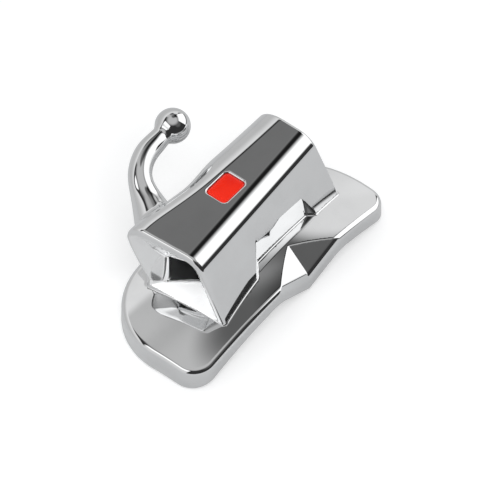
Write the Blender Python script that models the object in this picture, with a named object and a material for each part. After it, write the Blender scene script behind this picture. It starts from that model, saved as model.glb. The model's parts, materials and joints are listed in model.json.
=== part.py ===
"""Bondable buccal tube: a one-piece metal tube, bonding pad and ball hook, with an enamel marking inlay.

Sizes are millimetres, turned into metres where points are made. While the shapes are made, x runs
from the mesial mouth to the distal end, y from the occlusal side to the gingival side and z away from
the tooth, with zero at the mouth's occlusal bottom corner. At the end everything is moved so that the
origin is at the middle of the bottom of the whole part.
"""

import math

import bmesh
import bpy
from mathutils import Vector

mm = 0.001

# Bonding pad: outline seen from above
pad_mesial_x = -1.22
pad_distal_x = 4.62
pad_occlusal_y = -0.33
pad_gingival_y = 2.36
pad_mesial_corner = 0.50
pad_distal_corner = 0.42
pad_mesial_sweep = (1.54, 1.56)
pad_distal_sweep = (2.40, 2.26)
pad_mesial_fullness = 2.0
pad_distal_fullness = 2.45

# Bonding pad: thickness and its curvature over the tooth
pad_thickness = 0.36
pad_thickening_mesial = 0.14
pad_thickening_distal = 0.07
pad_crown_x = 1.70
pad_crown_y = 0.60
pad_radius_along = 12.0
pad_radius_across = 6.5
pad_edge_round = 0.05

# Buccal groove pressed into the pad's occlusal edge
groove_x = 2.17
groove_lean = 0.136
groove_apex_y = 0.26
groove_steepness = 0.73
groove_flank_mesial = 0.352
groove_flank_distal = 0.318
groove_half_width = 0.88

# Underside that holds the adhesive
retention_border = 0.24
retention_depth = 0.10
peg_pitch = 0.36
peg_size = 0.17
peg_flare = 0.03
peg_root = 0.05

# Tube: outer section, which narrows and flares along its length
tube_length = 3.79
tube_height = 1.45
tube_mouth_slant = 0.046
tube_distal_lean = 0.14
roof_occlusal_y = 0.643
roof_occlusal_taper = 0.073
foot_occlusal_taper = 0.110
roof_gingival_y = 1.58
roof_gingival_flare = 0.326
roof_gingival_flare_length = 1.30
roof_round_occlusal = 0.45
roof_round_gingival = 0.43
wall_gingival_undercut = (0.60, 0.38)
foot_round_mesial = 0.10
foot_round_distal = 0.26
foot_flare = (0.18, 0.04)
seat_in_pad = 0.16

# Archwire slot, 0.022 by 0.028 inch with its running clearance, and the funnel that leads into it
inch = 25.4
slot_clearance = 0.012
slot_width = 0.022 * inch + slot_clearance
slot_height = 0.028 * inch + slot_clearance
slot_gingival_y = 1.505
slot_floor_z = 0.09
slot_corner = 0.03
funnel_depth_gingival = 0.15
funnel_depth_occlusal = 0.70
rim_top = 0.20
rim_side = 0.16
rim_gingival = 0.09
rim_floor_z = 0.045

# Relief cut into the occlusal wall above the groove
relief_x = 2.215
relief_wall_y = 0.470
relief_wall_turn = 0.030
relief_wall_draft = 0.065
relief_wall_twist = 0.025
relief_half_length = 0.68
relief_flank = 1.0

# Ball hook
hook_path = (
    (0.55, 2.02, 0.70),
    (0.80, 2.42, 0.84),
    (1.00, 2.78, 0.99),
    (1.22, 3.05, 1.15),
    (1.60, 3.22, 1.22),
    (1.93, 3.25, 1.24),
    (2.20, 3.26, 1.25),
    (2.45, 3.24, 1.27),
)
hook_radii = (0.46, 0.37, 0.27, 0.232, 0.228, 0.215, 0.195, 0.190)
hook_steps = 18
hook_sides = 14
ball_radius = 0.347

# Marking inlay on the roof
mark_centre = (1.775, 1.405)
mark_length = 0.655
mark_width = 0.474
mark_corner = 0.09
mark_recess = 0.10
mark_below_roof = 0.03
mark_clearance = 0.006


def clear_scene():
    for item in list(bpy.data.objects):
        bpy.data.objects.remove(item, do_unlink=True)


def material(name, colour, roughness, metallic):
    made = bpy.data.materials.new(name)
    made.use_nodes = True
    shader = made.node_tree.nodes["Principled BSDF"]
    shader.inputs["Base Color"].default_value = (*colour, 1.0)
    shader.inputs["Roughness"].default_value = roughness
    shader.inputs["Metallic"].default_value = metallic
    return made


def as_object(name, shape, finish=None):
    """The mesh as an object. Mesh points are millimetres and the object's scale makes them metres."""
    mesh = bpy.data.meshes.new(name)
    shape.to_mesh(mesh)
    shape.free()
    made = bpy.data.objects.new(name, mesh)
    made.scale = (mm, mm, mm)
    bpy.context.collection.objects.link(made)
    if finish:
        mesh.materials.append(finish)
    return made


def loft(name, rings, finish=None, split=False):
    """A closed mesh through rings of equally many points, with a flat cap on each end."""
    shape = bmesh.new()
    rows = [[shape.verts.new(Vector(point)) for point in ring] for ring in rings]
    count = len(rows[0])
    for first, second in zip(rows, rows[1:]):
        for i in range(count):
            j = (i + 1) % count
            a, b, c, d = first[i], first[j], second[j], second[i]
            if not split:
                shape.faces.new((a, b, c, d))
            elif (a.co - c.co).length < (b.co - d.co).length:
                shape.faces.new((a, b, c))
                shape.faces.new((a, c, d))
            else:
                shape.faces.new((a, b, d))
                shape.faces.new((b, c, d))
    shape.faces.new(list(reversed(rows[0])))
    shape.faces.new(rows[-1])
    bmesh.ops.recalc_face_normals(shape, faces=shape.faces[:])
    return as_object(name, shape, finish)


def helper(made):
    made.hide_render = True
    made.display_type = "WIRE"
    return made


def combine(target, other, operation):
    step = target.modifiers.new(f"{operation.title()} {other.name}", "BOOLEAN")
    step.operation = operation
    step.object = helper(other)
    step.solver = "EXACT"


def ease(share):
    share = min(max(share, 0.0), 1.0)
    return share * share * (3.0 - 2.0 * share)


def arc(centre, radius, start, end, steps):
    """Points on a circle in the y-z plane, with angles in degrees from +y towards +z."""
    turns = [math.radians(start + (end - start) * i / steps) for i in range(steps + 1)]
    return [(centre[0] + radius * math.cos(a), centre[1] + radius * math.sin(a)) for a in turns]


def pad_low_y(x, inset=0.0):
    """The pad outline's occlusal side, with a round corner at each end."""
    edge = pad_occlusal_y + inset
    for end, radius, way in (
        (pad_mesial_x + inset, pad_mesial_corner - inset, 1),
        (pad_distal_x - inset, pad_distal_corner - inset, -1),
    ):
        reach = radius - (x - end) * way
        if reach > 0:
            return edge + radius - math.sqrt(max(radius**2 - reach**2, 0.0))
    return edge


def pad_high_y(x, inset=0.0):
    """The pad outline's gingival side, which sweeps down to each end."""
    edge = pad_gingival_y - inset
    for end, sweep, fullness, way in (
        (pad_mesial_x + inset, pad_mesial_sweep, pad_mesial_fullness, 1),
        (pad_distal_x - inset, pad_distal_sweep, pad_distal_fullness, -1),
    ):
        along, across = sweep[0] - inset, sweep[1] - inset
        reach = along - (x - end) * way
        if reach > 0:
            left = max(1.0 - (reach / along) ** fullness, 0.0)
            return edge - across * (1.0 - left ** (1.0 / fullness))
    return edge


def pad_crown(x, y):
    """Height of the pad's outer face without its groove: a saddle that follows the tooth."""
    along = (x - pad_crown_x) ** 2 / (2 * pad_radius_along)
    across = (y - pad_crown_y) ** 2 / (2 * pad_radius_across)
    corner = pad_crown_x**2 / (2 * pad_radius_along) + pad_crown_y**2 / (2 * pad_radius_across)
    return corner - along - across


def groove_valley(y):
    """Place and height of the groove's deepest line."""
    x = groove_x + groove_lean * (y - pad_occlusal_y)
    apex = pad_crown(groove_x, groove_apex_y)
    return x, apex - groove_steepness * (groove_apex_y - y)


def groove_flank(x, y):
    valley_x, valley_z = groove_valley(y)
    slope = groove_flank_mesial if x < valley_x else groove_flank_distal
    return valley_z + slope * abs(x - valley_x)


def groove_edge_y(x, low):
    """Where the groove's flank comes up to the pad's face at this place along the pad."""
    inside, outside = low + 0.03, groove_apex_y + 0.05
    for _ in range(30):
        middle = (inside + outside) / 2
        if groove_flank(x, middle) < pad_crown(x, middle):
            inside = middle
        else:
            outside = middle
    return inside


def pad_bottom(x, y):
    """Height of the pad's inner face, which dips with the groove."""
    from_middle = (x - pad_crown_x) / (pad_distal_x - pad_crown_x)
    thickening = pad_thickening_mesial if x < pad_crown_x else pad_thickening_distal
    return min(pad_crown(x, y), groove_flank(x, y)) - pad_thickness - thickening * from_middle**2


def pad_stations(inset):
    """Places along the pad: close together at the round ends and across the groove."""
    first, last = pad_mesial_x + inset, pad_distal_x - inset
    turn = [1.0 - math.cos(math.radians(90 * i / 8)) for i in range(9)]
    mesial = [first + pad_mesial_corner * 2 * t for t in turn]
    distal = [last - pad_distal_corner * 3 * t for t in reversed(turn)]
    shares = (-1.0, -0.75, -0.5, -0.25, 0.0, 0.25, 0.5, 0.75, 1.0)
    middle = [groove_x + groove_half_width * share for share in shares]
    lead_in = [mesial[-1] + (middle[0] - mesial[-1]) * i / 3 for i in (1, 2)]
    return mesial + lead_in + middle + distal


def pad_slab(name, inset, top, bottom, edge_round, finish=None):
    """A slab between two height functions, inside the pad's outline moved in by inset."""
    above = (0.0, 0.03, 0.15, 0.30, 0.45, 0.60, 0.75, 0.88, 0.97, 1.0)
    below = (0.12, 0.27, 0.45, 0.65, 0.85, 1.0)
    rings = []
    stations = pad_stations(inset)
    for x in stations:
        low, high = pad_low_y(x, inset), pad_high_y(x, inset)
        at_end = x in (stations[0], stations[-1])
        upper, lower = [], []
        for share in above:
            y = low + (high - low) * share
            at_edge = at_end or share in (0.0, 1.0)
            upper.append((x, y, top(x, y) - (edge_round if at_edge else 0.0)))
        edge = groove_edge_y(x, low)
        places = [low + (edge - low) * share for share in (0.0, 0.33, 0.67, 1.0)]
        places += [edge + (high - edge) * share for share in below]
        for y in places:
            lower.append((x, y, bottom(x, y)))
        rings.append(upper + lower[::-1])
    return loft(name, rings, finish)


def groove_cutter():
    """The wedge that opens the groove in the pad's outer face."""
    rings = []
    top_z = 0.60
    for y in (pad_occlusal_y - 0.45, 0.62):
        valley_x, valley_z = groove_valley(y)
        rise = top_z - valley_z
        rings.append([
            (valley_x, y, valley_z),
            (valley_x + rise / groove_flank_distal, y, top_z),
            (valley_x - rise / groove_flank_mesial, y, top_z),
        ])
    return loft("groove_cutter", rings)


def roof_line(x):
    """Where the flat roof would meet the occlusal wall, and where the gingival rounding starts."""
    occlusal = roof_occlusal_y + roof_occlusal_taper * x
    gingival = roof_gingival_y + roof_gingival_flare / (1.0 + (x / roof_gingival_flare_length) ** 2)
    return occlusal, gingival


def wall_undercut(x):
    mesial, distal = wall_gingival_undercut
    return mesial + (distal - mesial) * min(max(x / tube_length, 0.0), 1.0)


def tube_section(x, inset_top=0.0, inset_side=0.0, inset_gingival=0.0, floor=None):
    """Outline of the tube as four runs of points: foot, occlusal round, gingival round, gingival wall."""
    roof_z = tube_height - inset_top
    occlusal, gingival = roof_line(x)
    base_z = pad_crown(x, 0.3) if floor is None else floor
    lean = (occlusal - foot_occlusal_taper * x) / tube_height
    foot_y = foot_occlusal_taper * x + inset_side + lean * base_z
    corner_y = foot_y + lean * (roof_z - base_z)
    wall_angle = math.degrees(math.atan(lean))
    radius = roof_round_occlusal - inset_top
    tangent = radius * math.tan(math.radians((90 - wall_angle) / 2))
    round_occlusal = arc((corner_y + tangent, roof_z - radius), radius, 180 - wall_angle, 90, 6)
    side_radius = roof_round_gingival - inset_gingival
    round_gingival = arc((gingival, roof_z - side_radius), side_radius, 90, 0, 6)
    top_y, top_z = round_gingival[-1]
    base_gingival = pad_crown(x, 1.9) if floor is None else floor
    wall = []
    for i in range(1, 6):
        z = top_z + (base_gingival - top_z) * i / 5
        t = min((top_z - z) / top_z, 1.0)
        wall.append((top_y - wall_undercut(x) * t**1.3, z))
    if floor is not None:
        return [(foot_y, base_z)], round_occlusal, round_gingival, wall
    share = ease(x / tube_length)
    foot_radius = foot_round_mesial + (foot_round_distal - foot_round_mesial) * share
    reach = foot_radius * math.tan(math.radians((90 - wall_angle) / 2))
    foot = arc((foot_y - reach, base_z + foot_radius), foot_radius, -90, -wall_angle, 4)
    foot[0] = (foot[0][0], base_z - 0.01)
    foot = [(foot[0][0], base_z - seat_in_pad)] + foot
    edge_y = wall.pop()[0]
    flare = foot_flare[0] + (foot_flare[1] - foot_flare[0]) * share
    wall.append((edge_y + 0.04, base_gingival + 0.16))
    wall.append((edge_y + flare * 0.5, base_gingival + 0.06))
    wall.append((edge_y + flare, base_gingival - 0.01))
    wall.append((edge_y + flare, base_gingival - seat_in_pad))
    return foot, round_occlusal, round_gingival, wall


def place(x, y, z):
    """Slants the mouth and leans the distal end."""
    share = min(max(x / tube_length, 0.0), 1.0)
    mouth = -tube_mouth_slant * y * (1.0 - share)
    distal = tube_distal_lean * (tube_height - z) * share
    return x + mouth + distal, y, z


def tube_shell(finish):
    """The tube's outer form, lofted from the slanted mouth to the leaning distal end."""
    rings = []
    count = 12
    for i in range(count + 1):
        x = tube_length * i / count
        rings.append([place(x, y, z) for run in tube_section(x) for y, z in run])
    return loft("tube_body", rings, finish)


def slot_ring(x_gingival, x_occlusal, counts):
    """The slot's rectangle, with as many points as the mouth has."""
    high_y, low_y = slot_gingival_y, slot_gingival_y - slot_width
    low_z, high_z = slot_floor_z, slot_floor_z + slot_height
    corner = slot_corner
    round_occlusal = arc((low_y + corner, high_z - corner), corner, 180, 90, counts[1] - 1)
    round_gingival = arc((high_y - corner, high_z - corner), corner, 90, 0, counts[2] - 1)
    top_z = high_z - corner
    wall = [(high_y, top_z + (low_z - top_z) * (i + 1) / counts[3]) for i in range(counts[3])]
    ring = []
    for y, z in [(low_y, low_z)] + round_occlusal + round_gingival + wall:
        share = (high_y - y) / slot_width
        ring.append((x_gingival + (x_occlusal - x_gingival) * share, y, z))
    return ring


def slot_cutter():
    """The archwire's way through the tube: funnel mouth, then the rectangular slot."""
    runs = tube_section(0.0, rim_top, rim_side, rim_gingival, rim_floor_z)
    counts = [len(run) for run in runs]
    mouth = [point for run in runs for point in run]
    inner = slot_ring(funnel_depth_gingival, funnel_depth_occlusal, counts)
    at_mouth = [(-tube_mouth_slant * y, y, z) for y, z in mouth]
    outside = [tuple(a + (a - b) * 0.4 for a, b in zip(p, q)) for p, q in zip(at_mouth, inner)]
    through = tube_length + 1.0
    return loft("slot_cutter", [outside, inner, slot_ring(through, through, counts)], split=True)


def relief_cutter():
    """A prism that opens outwards on both sides of the groove, with a drafted inner wall."""
    outer_y = pad_occlusal_y - 0.2
    spread = relief_half_length + relief_flank * (relief_wall_y - outer_y)
    rings = []
    for z in (-pad_thickness - 0.5, tube_height - 0.2):
        plan = []
        for along in (-spread, spread):
            plan.append((relief_x + along, outer_y, z))
        for along in (relief_half_length, -relief_half_length):
            draft = relief_wall_draft + relief_wall_twist * along / relief_half_length
            y = relief_wall_y + relief_wall_turn * along + draft * z
            along += math.copysign(relief_flank * (relief_wall_y - y), along)
            plan.append((relief_x + along, y, z))
        rings.append(plan)
    return loft("relief_cutter", rings, split=True)


def rounded_block(name, centre, length, width, corner, low, high, finish=None):
    plan = []
    for turn, (sx, sy) in enumerate(((1, 1), (-1, 1), (-1, -1), (1, -1))):
        cx = centre[0] + sx * (length / 2 - corner)
        cy = centre[1] + sy * (width / 2 - corner)
        plan += arc((cx, cy), corner, 90 * turn, 90 * turn + 90, 5)
    return loft(name, [[(x, y, low) for x, y in plan], [(x, y, high) for x, y in plan]], finish)


def along_curve(points, values, share):
    """Point and value on a Catmull-Rom curve through the given points."""
    place = share * (len(points) - 1)
    i = min(int(place), len(points) - 2)
    t = place - i
    near = [points[min(max(i + k, 0), len(points) - 1)] for k in (-1, 0, 1, 2)]
    a, b, c, d = (Vector(p) for p in near)
    bend = 2 * b + (c - a) * t + (2 * a - 5 * b + 4 * c - d) * t**2 + (3 * b - a - 3 * c + d) * t**3
    return bend / 2, values[i] + (values[i + 1] - values[i]) * t


def hook_stem():
    """The hook's stem: circles along its curve, wide where it leaves the tube."""
    stops = [along_curve(hook_path, hook_radii, i / hook_steps) for i in range(hook_steps + 1)]
    side = Vector((0, 0, 1))
    rings = []
    for i, (point, radius) in enumerate(stops):
        ahead = stops[min(i + 1, hook_steps)][0] - stops[max(i - 1, 0)][0]
        ahead.normalize()
        side = (side - ahead * side.dot(ahead)).normalized()
        across = ahead.cross(side)
        ring = []
        for k in range(hook_sides):
            turn = 2 * math.pi * k / hook_sides
            ring.append(tuple(point + (side * math.cos(turn) + across * math.sin(turn)) * radius))
        rings.append(ring)
    return loft("hook_stem", rings)


def hook_ball():
    shape = bmesh.new()
    bmesh.ops.create_uvsphere(shape, u_segments=22, v_segments=14, radius=ball_radius)
    bmesh.ops.translate(shape, verts=shape.verts[:], vec=Vector(hook_path[-1]))
    return as_object("hook_ball", shape)


def retention_field_top(x, y):
    return pad_bottom(x, y) + retention_depth


def retention_field_bottom(x, y):
    return pad_bottom(x, y) - retention_depth


def retention_pegs():
    """Rows of pegs on the underside, wider at the tip than at the root so that the adhesive keys in."""
    shape = bmesh.new()
    inset = retention_border + peg_size / 2 + peg_flare + 0.04
    columns = int((pad_distal_x - pad_mesial_x) / peg_pitch)
    rows = int((pad_gingival_y - pad_occlusal_y) / peg_pitch)
    middle = ((pad_mesial_x + pad_distal_x) / 2, (pad_occlusal_y + pad_gingival_y) / 2)
    for i in range(columns + 1):
        for j in range(rows + 1):
            x = middle[0] + (i - columns / 2) * peg_pitch
            y = middle[1] + (j - rows / 2) * peg_pitch
            if not pad_mesial_x + inset < x < pad_distal_x - inset:
                continue
            if not pad_low_y(x, inset) < y < pad_high_y(x, inset):
                continue
            if groove_flank(x, y) < pad_crown(x, y) + 0.03:
                continue
            add_peg(shape, x, y)
    return as_object("retention_pegs", shape)


def add_peg(shape, x, y):
    rings = []
    for half, height in (
        (peg_size / 2, pad_bottom(x, y) + retention_depth + peg_root),
        (peg_size / 2 + peg_flare, pad_bottom(x, y) + 0.02),
    ):
        corners = ((1, 1), (-1, 1), (-1, -1), (1, -1))
        ring = [(x + sx * half, y + sy * half, height) for sx, sy in corners]
        rings.append([shape.verts.new(Vector(point)) for point in ring])
    faces = []
    for i in range(4):
        j = (i + 1) % 4
        faces.append(shape.faces.new((rings[0][i], rings[1][i], rings[1][j], rings[0][j])))
    faces.append(shape.faces.new(rings[0]))
    faces.append(shape.faces.new(list(reversed(rings[1]))))
    bmesh.ops.recalc_face_normals(shape, faces=faces)


def build_body():
    steel = material("polished_steel", (0.80, 0.81, 0.82), 0.06, 1.0)
    pad = pad_slab("pad_slab", 0.0, pad_crown, pad_bottom, pad_edge_round)
    combine(pad, groove_cutter(), "DIFFERENCE")
    body = tube_shell(steel)
    combine(body, relief_cutter(), "DIFFERENCE")
    combine(body, pad, "UNION")
    combine(body, hook_stem(), "UNION")
    combine(body, hook_ball(), "UNION")
    combine(body, slot_cutter(), "DIFFERENCE")
    recess = rounded_block(
        "mark_recess", mark_centre, mark_length, mark_width, mark_corner, tube_height - mark_recess, tube_height + 0.2
    )
    combine(body, recess, "DIFFERENCE")
    field = pad_slab("retention_field", retention_border, retention_field_top, retention_field_bottom, 0.0)
    combine(body, field, "DIFFERENCE")
    combine(body, retention_pegs(), "UNION")
    return body


def build_mark():
    enamel = material("red_enamel", (0.94, 0.06, 0.01), 0.25, 0.0)
    low = tube_height - mark_recess + mark_clearance
    high = tube_height - mark_below_roof
    gap = 2 * mark_clearance
    corner = mark_corner - mark_clearance
    return rounded_block("id_mark", mark_centre, mark_length - gap, mark_width - gap, corner, low, high, enamel)


def stand_on_origin(pieces):
    """Moves everything so that the origin is at the middle of the whole part's bottom."""
    bpy.context.view_layer.update()
    graph = bpy.context.evaluated_depsgraph_get()
    corners = []
    for piece in pieces:
        seen = piece.evaluated_get(graph)
        corners += [seen.matrix_world @ Vector(corner) for corner in seen.bound_box]
    low = Vector([min(c[k] for c in corners) for k in range(3)])
    high = Vector([max(c[k] for c in corners) for k in range(3)])
    shift = Vector((-(low.x + high.x) / 2, -(low.y + high.y) / 2, -low.z))
    for item in bpy.data.objects:
        item.location += shift


clear_scene()
tube_body = build_body()
id_mark = build_mark()
stand_on_origin([tube_body, id_mark])
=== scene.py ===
import json
import math

import bpy
import numpy as np
from mathutils import Matrix, Vector

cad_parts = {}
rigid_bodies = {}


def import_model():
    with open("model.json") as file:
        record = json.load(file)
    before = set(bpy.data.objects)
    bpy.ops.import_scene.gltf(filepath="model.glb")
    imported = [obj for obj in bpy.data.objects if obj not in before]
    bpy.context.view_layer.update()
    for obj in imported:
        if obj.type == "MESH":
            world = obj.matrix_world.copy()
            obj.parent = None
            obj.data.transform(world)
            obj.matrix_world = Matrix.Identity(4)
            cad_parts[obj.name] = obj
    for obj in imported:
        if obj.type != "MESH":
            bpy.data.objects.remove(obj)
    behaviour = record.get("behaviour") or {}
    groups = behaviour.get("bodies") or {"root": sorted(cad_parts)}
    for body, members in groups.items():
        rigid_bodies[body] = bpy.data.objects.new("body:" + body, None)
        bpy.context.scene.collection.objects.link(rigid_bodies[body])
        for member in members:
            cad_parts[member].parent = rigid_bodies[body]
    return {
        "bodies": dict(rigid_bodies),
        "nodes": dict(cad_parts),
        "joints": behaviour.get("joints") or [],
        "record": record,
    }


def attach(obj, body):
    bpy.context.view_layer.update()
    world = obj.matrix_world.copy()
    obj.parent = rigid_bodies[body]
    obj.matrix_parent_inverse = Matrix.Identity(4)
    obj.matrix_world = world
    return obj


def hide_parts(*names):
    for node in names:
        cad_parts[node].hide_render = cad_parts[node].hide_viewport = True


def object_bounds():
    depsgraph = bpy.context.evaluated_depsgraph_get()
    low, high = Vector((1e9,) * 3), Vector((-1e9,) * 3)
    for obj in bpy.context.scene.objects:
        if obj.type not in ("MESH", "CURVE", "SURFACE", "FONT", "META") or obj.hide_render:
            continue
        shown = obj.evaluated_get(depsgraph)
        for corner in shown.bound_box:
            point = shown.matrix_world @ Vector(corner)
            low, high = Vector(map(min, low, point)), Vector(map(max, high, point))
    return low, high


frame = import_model()
cadLow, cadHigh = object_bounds()

# Shapes are worked out in millimetres from the mouth's occlusal bottom corner: x to the distal end,
# y to the gingival side, z away from the tooth. workOrigin takes them to the shared frame.
mm = 0.001
workOrigin = np.array((-1.70, -1.6285, 0.7254))
scene = bpy.context.scene


def unit(values):
    made = np.array(values, float)
    return made / np.linalg.norm(made)


# Camera
cameraValues = {
    "azimuth": -51.3,
    "elevation": 50.0,
    "pictureWidth": 490 / 52.5,
    "aimRight": 20 / 52.5,
    "aimUp": 82 / 52.5,
    "distance": 60.0,
}


def makeCamera(v):
    turn, tilt = math.radians(v["azimuth"]), math.radians(v["elevation"])
    back = Vector((math.sin(turn) * math.cos(tilt), -math.cos(turn) * math.cos(tilt), math.sin(tilt)))
    right = Vector((math.cos(turn), math.sin(turn), 0))
    up = back.cross(right)
    data = bpy.data.cameras.new("camera")
    data.type = "ORTHO"
    data.ortho_scale = v["pictureWidth"] * mm
    data.clip_start = 0.0005
    data.clip_end = 1.0
    made = bpy.data.objects.new("camera", data)
    scene.collection.objects.link(made)
    aim = Vector(workOrigin) + right * v["aimRight"] + up * v["aimUp"]
    made.location = (aim + back * v["distance"]) * mm
    made.rotation_euler = Matrix((right, up, back)).transposed().to_euler()
    scene.camera = made


makeCamera(cameraValues)

# Studio
studioValues = {
    "plainLight": 0.72,
    "dark": 0.035,
    "overhead": {"towards": (-0.04, 0.0, 1.0), "reach": 31.0, "soft": 11.0, "strength": 0.56},
    "greyCard": {"towards": (0.30, 0.50, 0.81), "reach": 17.0, "soft": 9.0, "strength": 0.195},
    "frontCard": {"towards": (0.04, -0.66, 0.75), "reach": 16.0, "soft": 8.0, "strength": 0.115},
    "darkCard": {"towards": (0.53, 0.06, 0.845), "reach": 8.0, "soft": 6.0, "strength": 0.012},
    "padCard": {"towards": (0.33, 0.17, 0.93), "reach": 9.0, "soft": 5.0, "strength": 0.12},
    "backCard": {"towards": (0.17, 0.63, 0.76), "reach": 10.0, "soft": 5.0, "strength": 0.56},
    "sideCard": {"towards": (0.75, 0.32, 0.58), "reach": 11.0, "soft": 3.0, "strength": 0.80},
    "rightPanel": {
        "corners": (
            (0.68, 0.10, 0.73),
            (0.34, -0.50, 0.795),
            (0.50, -0.715, 0.49),
            (0.665, -0.745, 0.04),
            (0.99, 0.08, 0.05),
        ),
        "soft": (6.0, 1.6, 1.6, 1.6, 1.6),
        "rise": (0.0, 0.2),
        "strength": (0.90, 1.30),
    },
    "leftPanel": {
        "corners": ((-0.43, 0.55, 0.72), (-0.80, 0.60, -0.06), (-0.99, -0.12, -0.06), (-0.66, -0.20, 0.72)),
        "soft": (1.6, 1.6, 1.6, 1.6),
        "rise": (0.40, 0.62),
        "strength": (0.72, 1.30),
    },
    "backdrop": {
        "edges": ((0.2136, 0.6866, -0.6946), (-0.074, 0.938, -0.341), (0.456, 0.713, -0.532)),
        "soft": (1.8, 1.8, 1.8),
        "topStrength": 0.85,
        "lowStrength": 0.56,
    },
    "darkLine": (-0.125, -0.075),
    "floor": {
        "size": 90.0,
        "colour": (0.62, 0.625, 0.63),
        "lift": 0.47,
        "reflectionLift": 0.02,
    },
    "softLamp": {
        "towards": (-0.35, -0.45, 1.0),
        "distance": 40.0,
        "size": 22.0,
        "strength": 0.30,
    },
    "mouthLamp": {
        "at": (0.25, 1.08, 0.08),
        "towards": (-0.45, 0.62, 0.64),
        "distance": 30.0,
        "spread": 4.4,
        "edgeBlend": 0.5,
        "strength": 1.6,
    },
}


# Short names for making and joining shader nodes.
class Nodes:

    def __init__(self, tree):
        self.tree = tree

    def add(self, kind, **settings):
        made = self.tree.nodes.new(kind)
        for key, value in settings.items():
            setattr(made, key, value)
        return made

    def feed(self, socket, value):
        if isinstance(value, bpy.types.NodeSocket):
            self.tree.links.new(value, socket)
        else:
            socket.default_value = value

    def math(self, operation, a, b=0.0, c=0.0, clamp=False):
        made = self.add("ShaderNodeMath", operation=operation, use_clamp=clamp)
        for socket, value in zip(made.inputs, (a, b, c)):
            self.feed(socket, value)
        return made.outputs[0]

    def dot(self, a, direction):
        made = self.add("ShaderNodeVectorMath", operation="DOT_PRODUCT")
        self.feed(made.inputs[0], a)
        made.inputs[1].default_value = tuple(direction)
        return made.outputs["Value"]

    def step(self, value, low, high, fromValue=0.0, toValue=1.0):
        made = self.add("ShaderNodeMapRange", interpolation_type="SMOOTHSTEP")
        for socket, given in zip(made.inputs, (value, low, high, fromValue, toValue)):
            self.feed(socket, given)
        return made.outputs[0]

    def mix(self, share, a, b):
        made = self.add("ShaderNodeMix", data_type="FLOAT")
        self.feed(made.inputs[0], share)
        self.feed(made.inputs[2], a)
        self.feed(made.inputs[3], b)
        return made.outputs[0]

    def tint(self, share, a, b):
        made = self.add("ShaderNodeMix", data_type="RGBA")
        self.feed(made.inputs[0], share)
        self.feed(made.inputs[6], a)
        self.feed(made.inputs[7], b)
        return made.outputs[2]

    def noise(self, place, scale, detail):
        made = self.add("ShaderNodeTexNoise")
        self.feed(made.inputs["Vector"], place)
        made.inputs["Scale"].default_value = scale
        made.inputs["Detail"].default_value = detail
        return made.outputs["Fac"]

    def bump(self, height, strength, distance):
        made = self.add("ShaderNodeBump")
        made.inputs["Strength"].default_value = strength
        made.inputs["Distance"].default_value = distance
        self.feed(made.inputs["Height"], height)
        return made.outputs["Normal"]


# A round light in the world, soft at its edge.
def spotZone(n, ray, v):
    outer = math.cos(math.radians(v["reach"] + v["soft"]))
    inner = math.cos(math.radians(max(v["reach"] - v["soft"], 0)))
    return n.step(n.dot(ray, unit(v["towards"])), outer, inner)


# A light in the world with straight edges, each with its own softness.
def edgeZone(n, ray, edges, soft):
    share = None
    for edge, width in zip(edges, soft):
        half = math.sin(math.radians(width))
        near = n.step(n.dot(ray, edge), -half, half)
        share = near if share is None else n.math("MULTIPLY", share, near)
    return share


def cornerEdges(corners):
    middle = unit(np.mean([unit(c) for c in corners], axis=0))
    edges = []
    for a, b in zip(corners, corners[1:] + corners[:1]):
        edge = unit(np.cross(unit(a), unit(b)))
        edges.append(edge if edge @ middle > 0 else -edge)
    return edges


def makeWorld(v):
    world = bpy.data.worlds.new("studio")
    world.use_nodes = True
    scene.world = world
    tree = world.node_tree
    tree.nodes.clear()
    n = Nodes(tree)
    ray = n.add("ShaderNodeTexCoord").outputs["Generated"]
    light = v["dark"]
    for name in ("greyCard", "frontCard", "overhead", "padCard", "darkCard"):
        light = n.mix(spotZone(n, ray, v[name]), light, v[name]["strength"])
    backdropEdge = n.dot(ray, unit(v["backdrop"]["edges"][0]))
    light = n.mix(n.step(backdropEdge, *v["darkLine"]), light, v["dark"])
    for name in ("backCard", "sideCard"):
        light = n.mix(spotZone(n, ray, v[name]), light, v[name]["strength"])
    height = n.dot(ray, (0.0, 0.0, 1.0))
    for name in ("rightPanel", "leftPanel"):
        panel = v[name]
        shine = n.step(height, *panel["rise"], *panel["strength"])
        light = n.mix(edgeZone(n, ray, cornerEdges(panel["corners"]), panel["soft"]), light, shine)
    backdrop = v["backdrop"]
    fall = n.step(backdropEdge, 0.0, 0.45, backdrop["topStrength"], backdrop["lowStrength"])
    light = n.mix(edgeZone(n, ray, [unit(e) for e in backdrop["edges"]], backdrop["soft"]), light, fall)
    path = n.add("ShaderNodeLightPath")
    shown = n.mix(path.outputs["Is Glossy Ray"], v["plainLight"], light)
    shown = n.mix(path.outputs["Is Camera Ray"], shown, 1.0)
    ground = n.add("ShaderNodeBackground")
    ground.inputs["Color"].default_value = (1, 1, 1, 1)
    n.feed(ground.inputs["Strength"], shown)
    n.feed(n.add("ShaderNodeOutputWorld").inputs["Surface"], ground.outputs[0])


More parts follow.
